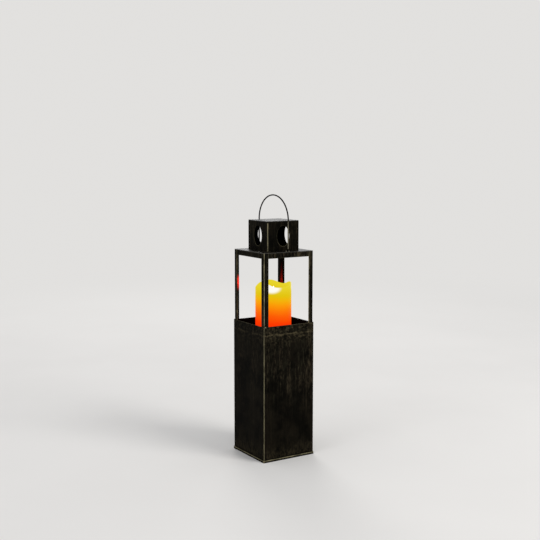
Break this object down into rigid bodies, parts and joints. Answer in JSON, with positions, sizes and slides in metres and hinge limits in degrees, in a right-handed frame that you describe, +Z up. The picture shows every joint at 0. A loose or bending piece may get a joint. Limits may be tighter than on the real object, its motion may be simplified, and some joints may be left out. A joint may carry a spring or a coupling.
{
  "type": "lantern floor lamp",
  "caption": "Tall square sheet-metal lantern with an open cage, a vented chimney, a swinging wire handle and a lift-out battery candle.",
  "frame": {"origin": "middle of the underside of the base tray", "axes": "+Z up; -Y and -X are the two faces that the picture shows; the handle's pivots lie along Y"},
  "size_m": [0.123, 0.123, 0.5415],
  "materials": {
    "antique_metal": "near-black brown, dry-brushed with worn bronze edges",
    "handle_wire": "near-black brown, worn",
    "wax": "translucent ivory wax",
    "flame": "frosted",
    "led_resin": "clear resin",
    "moulding": "moulded ivory plastic",
    "board": "solder mask",
    "lead_sleeve": "insulation",
    "cell_sleeve": "plain sleeve",
    "plated_steel": "nickel plated",
    "switch_plastic": "moulded black plastic"
  },
  "bodies": {
    "lantern": {"base_tray": "antique_metal", "box_shell_front": "antique_metal", "box_shell_rear": "antique_metal", "candle_shelf": "antique_metal", "corner_post_front_left": "antique_metal", "corner_post_front_right": "antique_metal", "corner_post_rear_right": "antique_metal", "corner_post_rear_left": "antique_metal", "top_rail_front": "antique_metal", "top_rail_right": "antique_metal", "top_rail_rear": "antique_metal", "top_rail_left": "antique_metal", "roof_plate": "antique_metal", "chimney_shell_front": "antique_metal", "chimney_shell_rear": "antique_metal", "chimney_cap": "antique_metal", "bail_lug_front": "antique_metal", "bail_lug_rear": "antique_metal"},
    "handle": {"bail_handle": "handle_wire"},
    "candle": {"candle_shell": "wax", "flame_tip": "flame", "led": "led_resin", "led_stem": "moulding", "led_leads": "lead_sleeve", "circuit_board": "board", "candle_base": "moulding", "cell_front": "cell_sleeve", "cell_rear": "cell_sleeve", "battery_springs": "plated_steel", "battery_contacts": "plated_steel", "battery_door": "moulding", "door_screw": "plated_steel", "switch_body": "switch_plastic"},
    "switch": {"switch_slider": "moulding"}
  },
  "joints": [
    {"name": "handle_swing", "type": "hinge", "parent": "lantern", "child": "handle", "pos_m": [0, 0, 0.432], "axis": [0, 1, 0], "range_deg": [-92, 92]},
    {"name": "candle_lift", "type": "slide", "parent": "lantern", "child": "candle", "axis": [0, 0, 1], "range_m": [0, 0.062]},
    {"name": "switch_slide", "type": "slide", "parent": "candle", "child": "switch", "axis": [1, 0, 0], "range_m": [0, 0.003]}
  ]
}
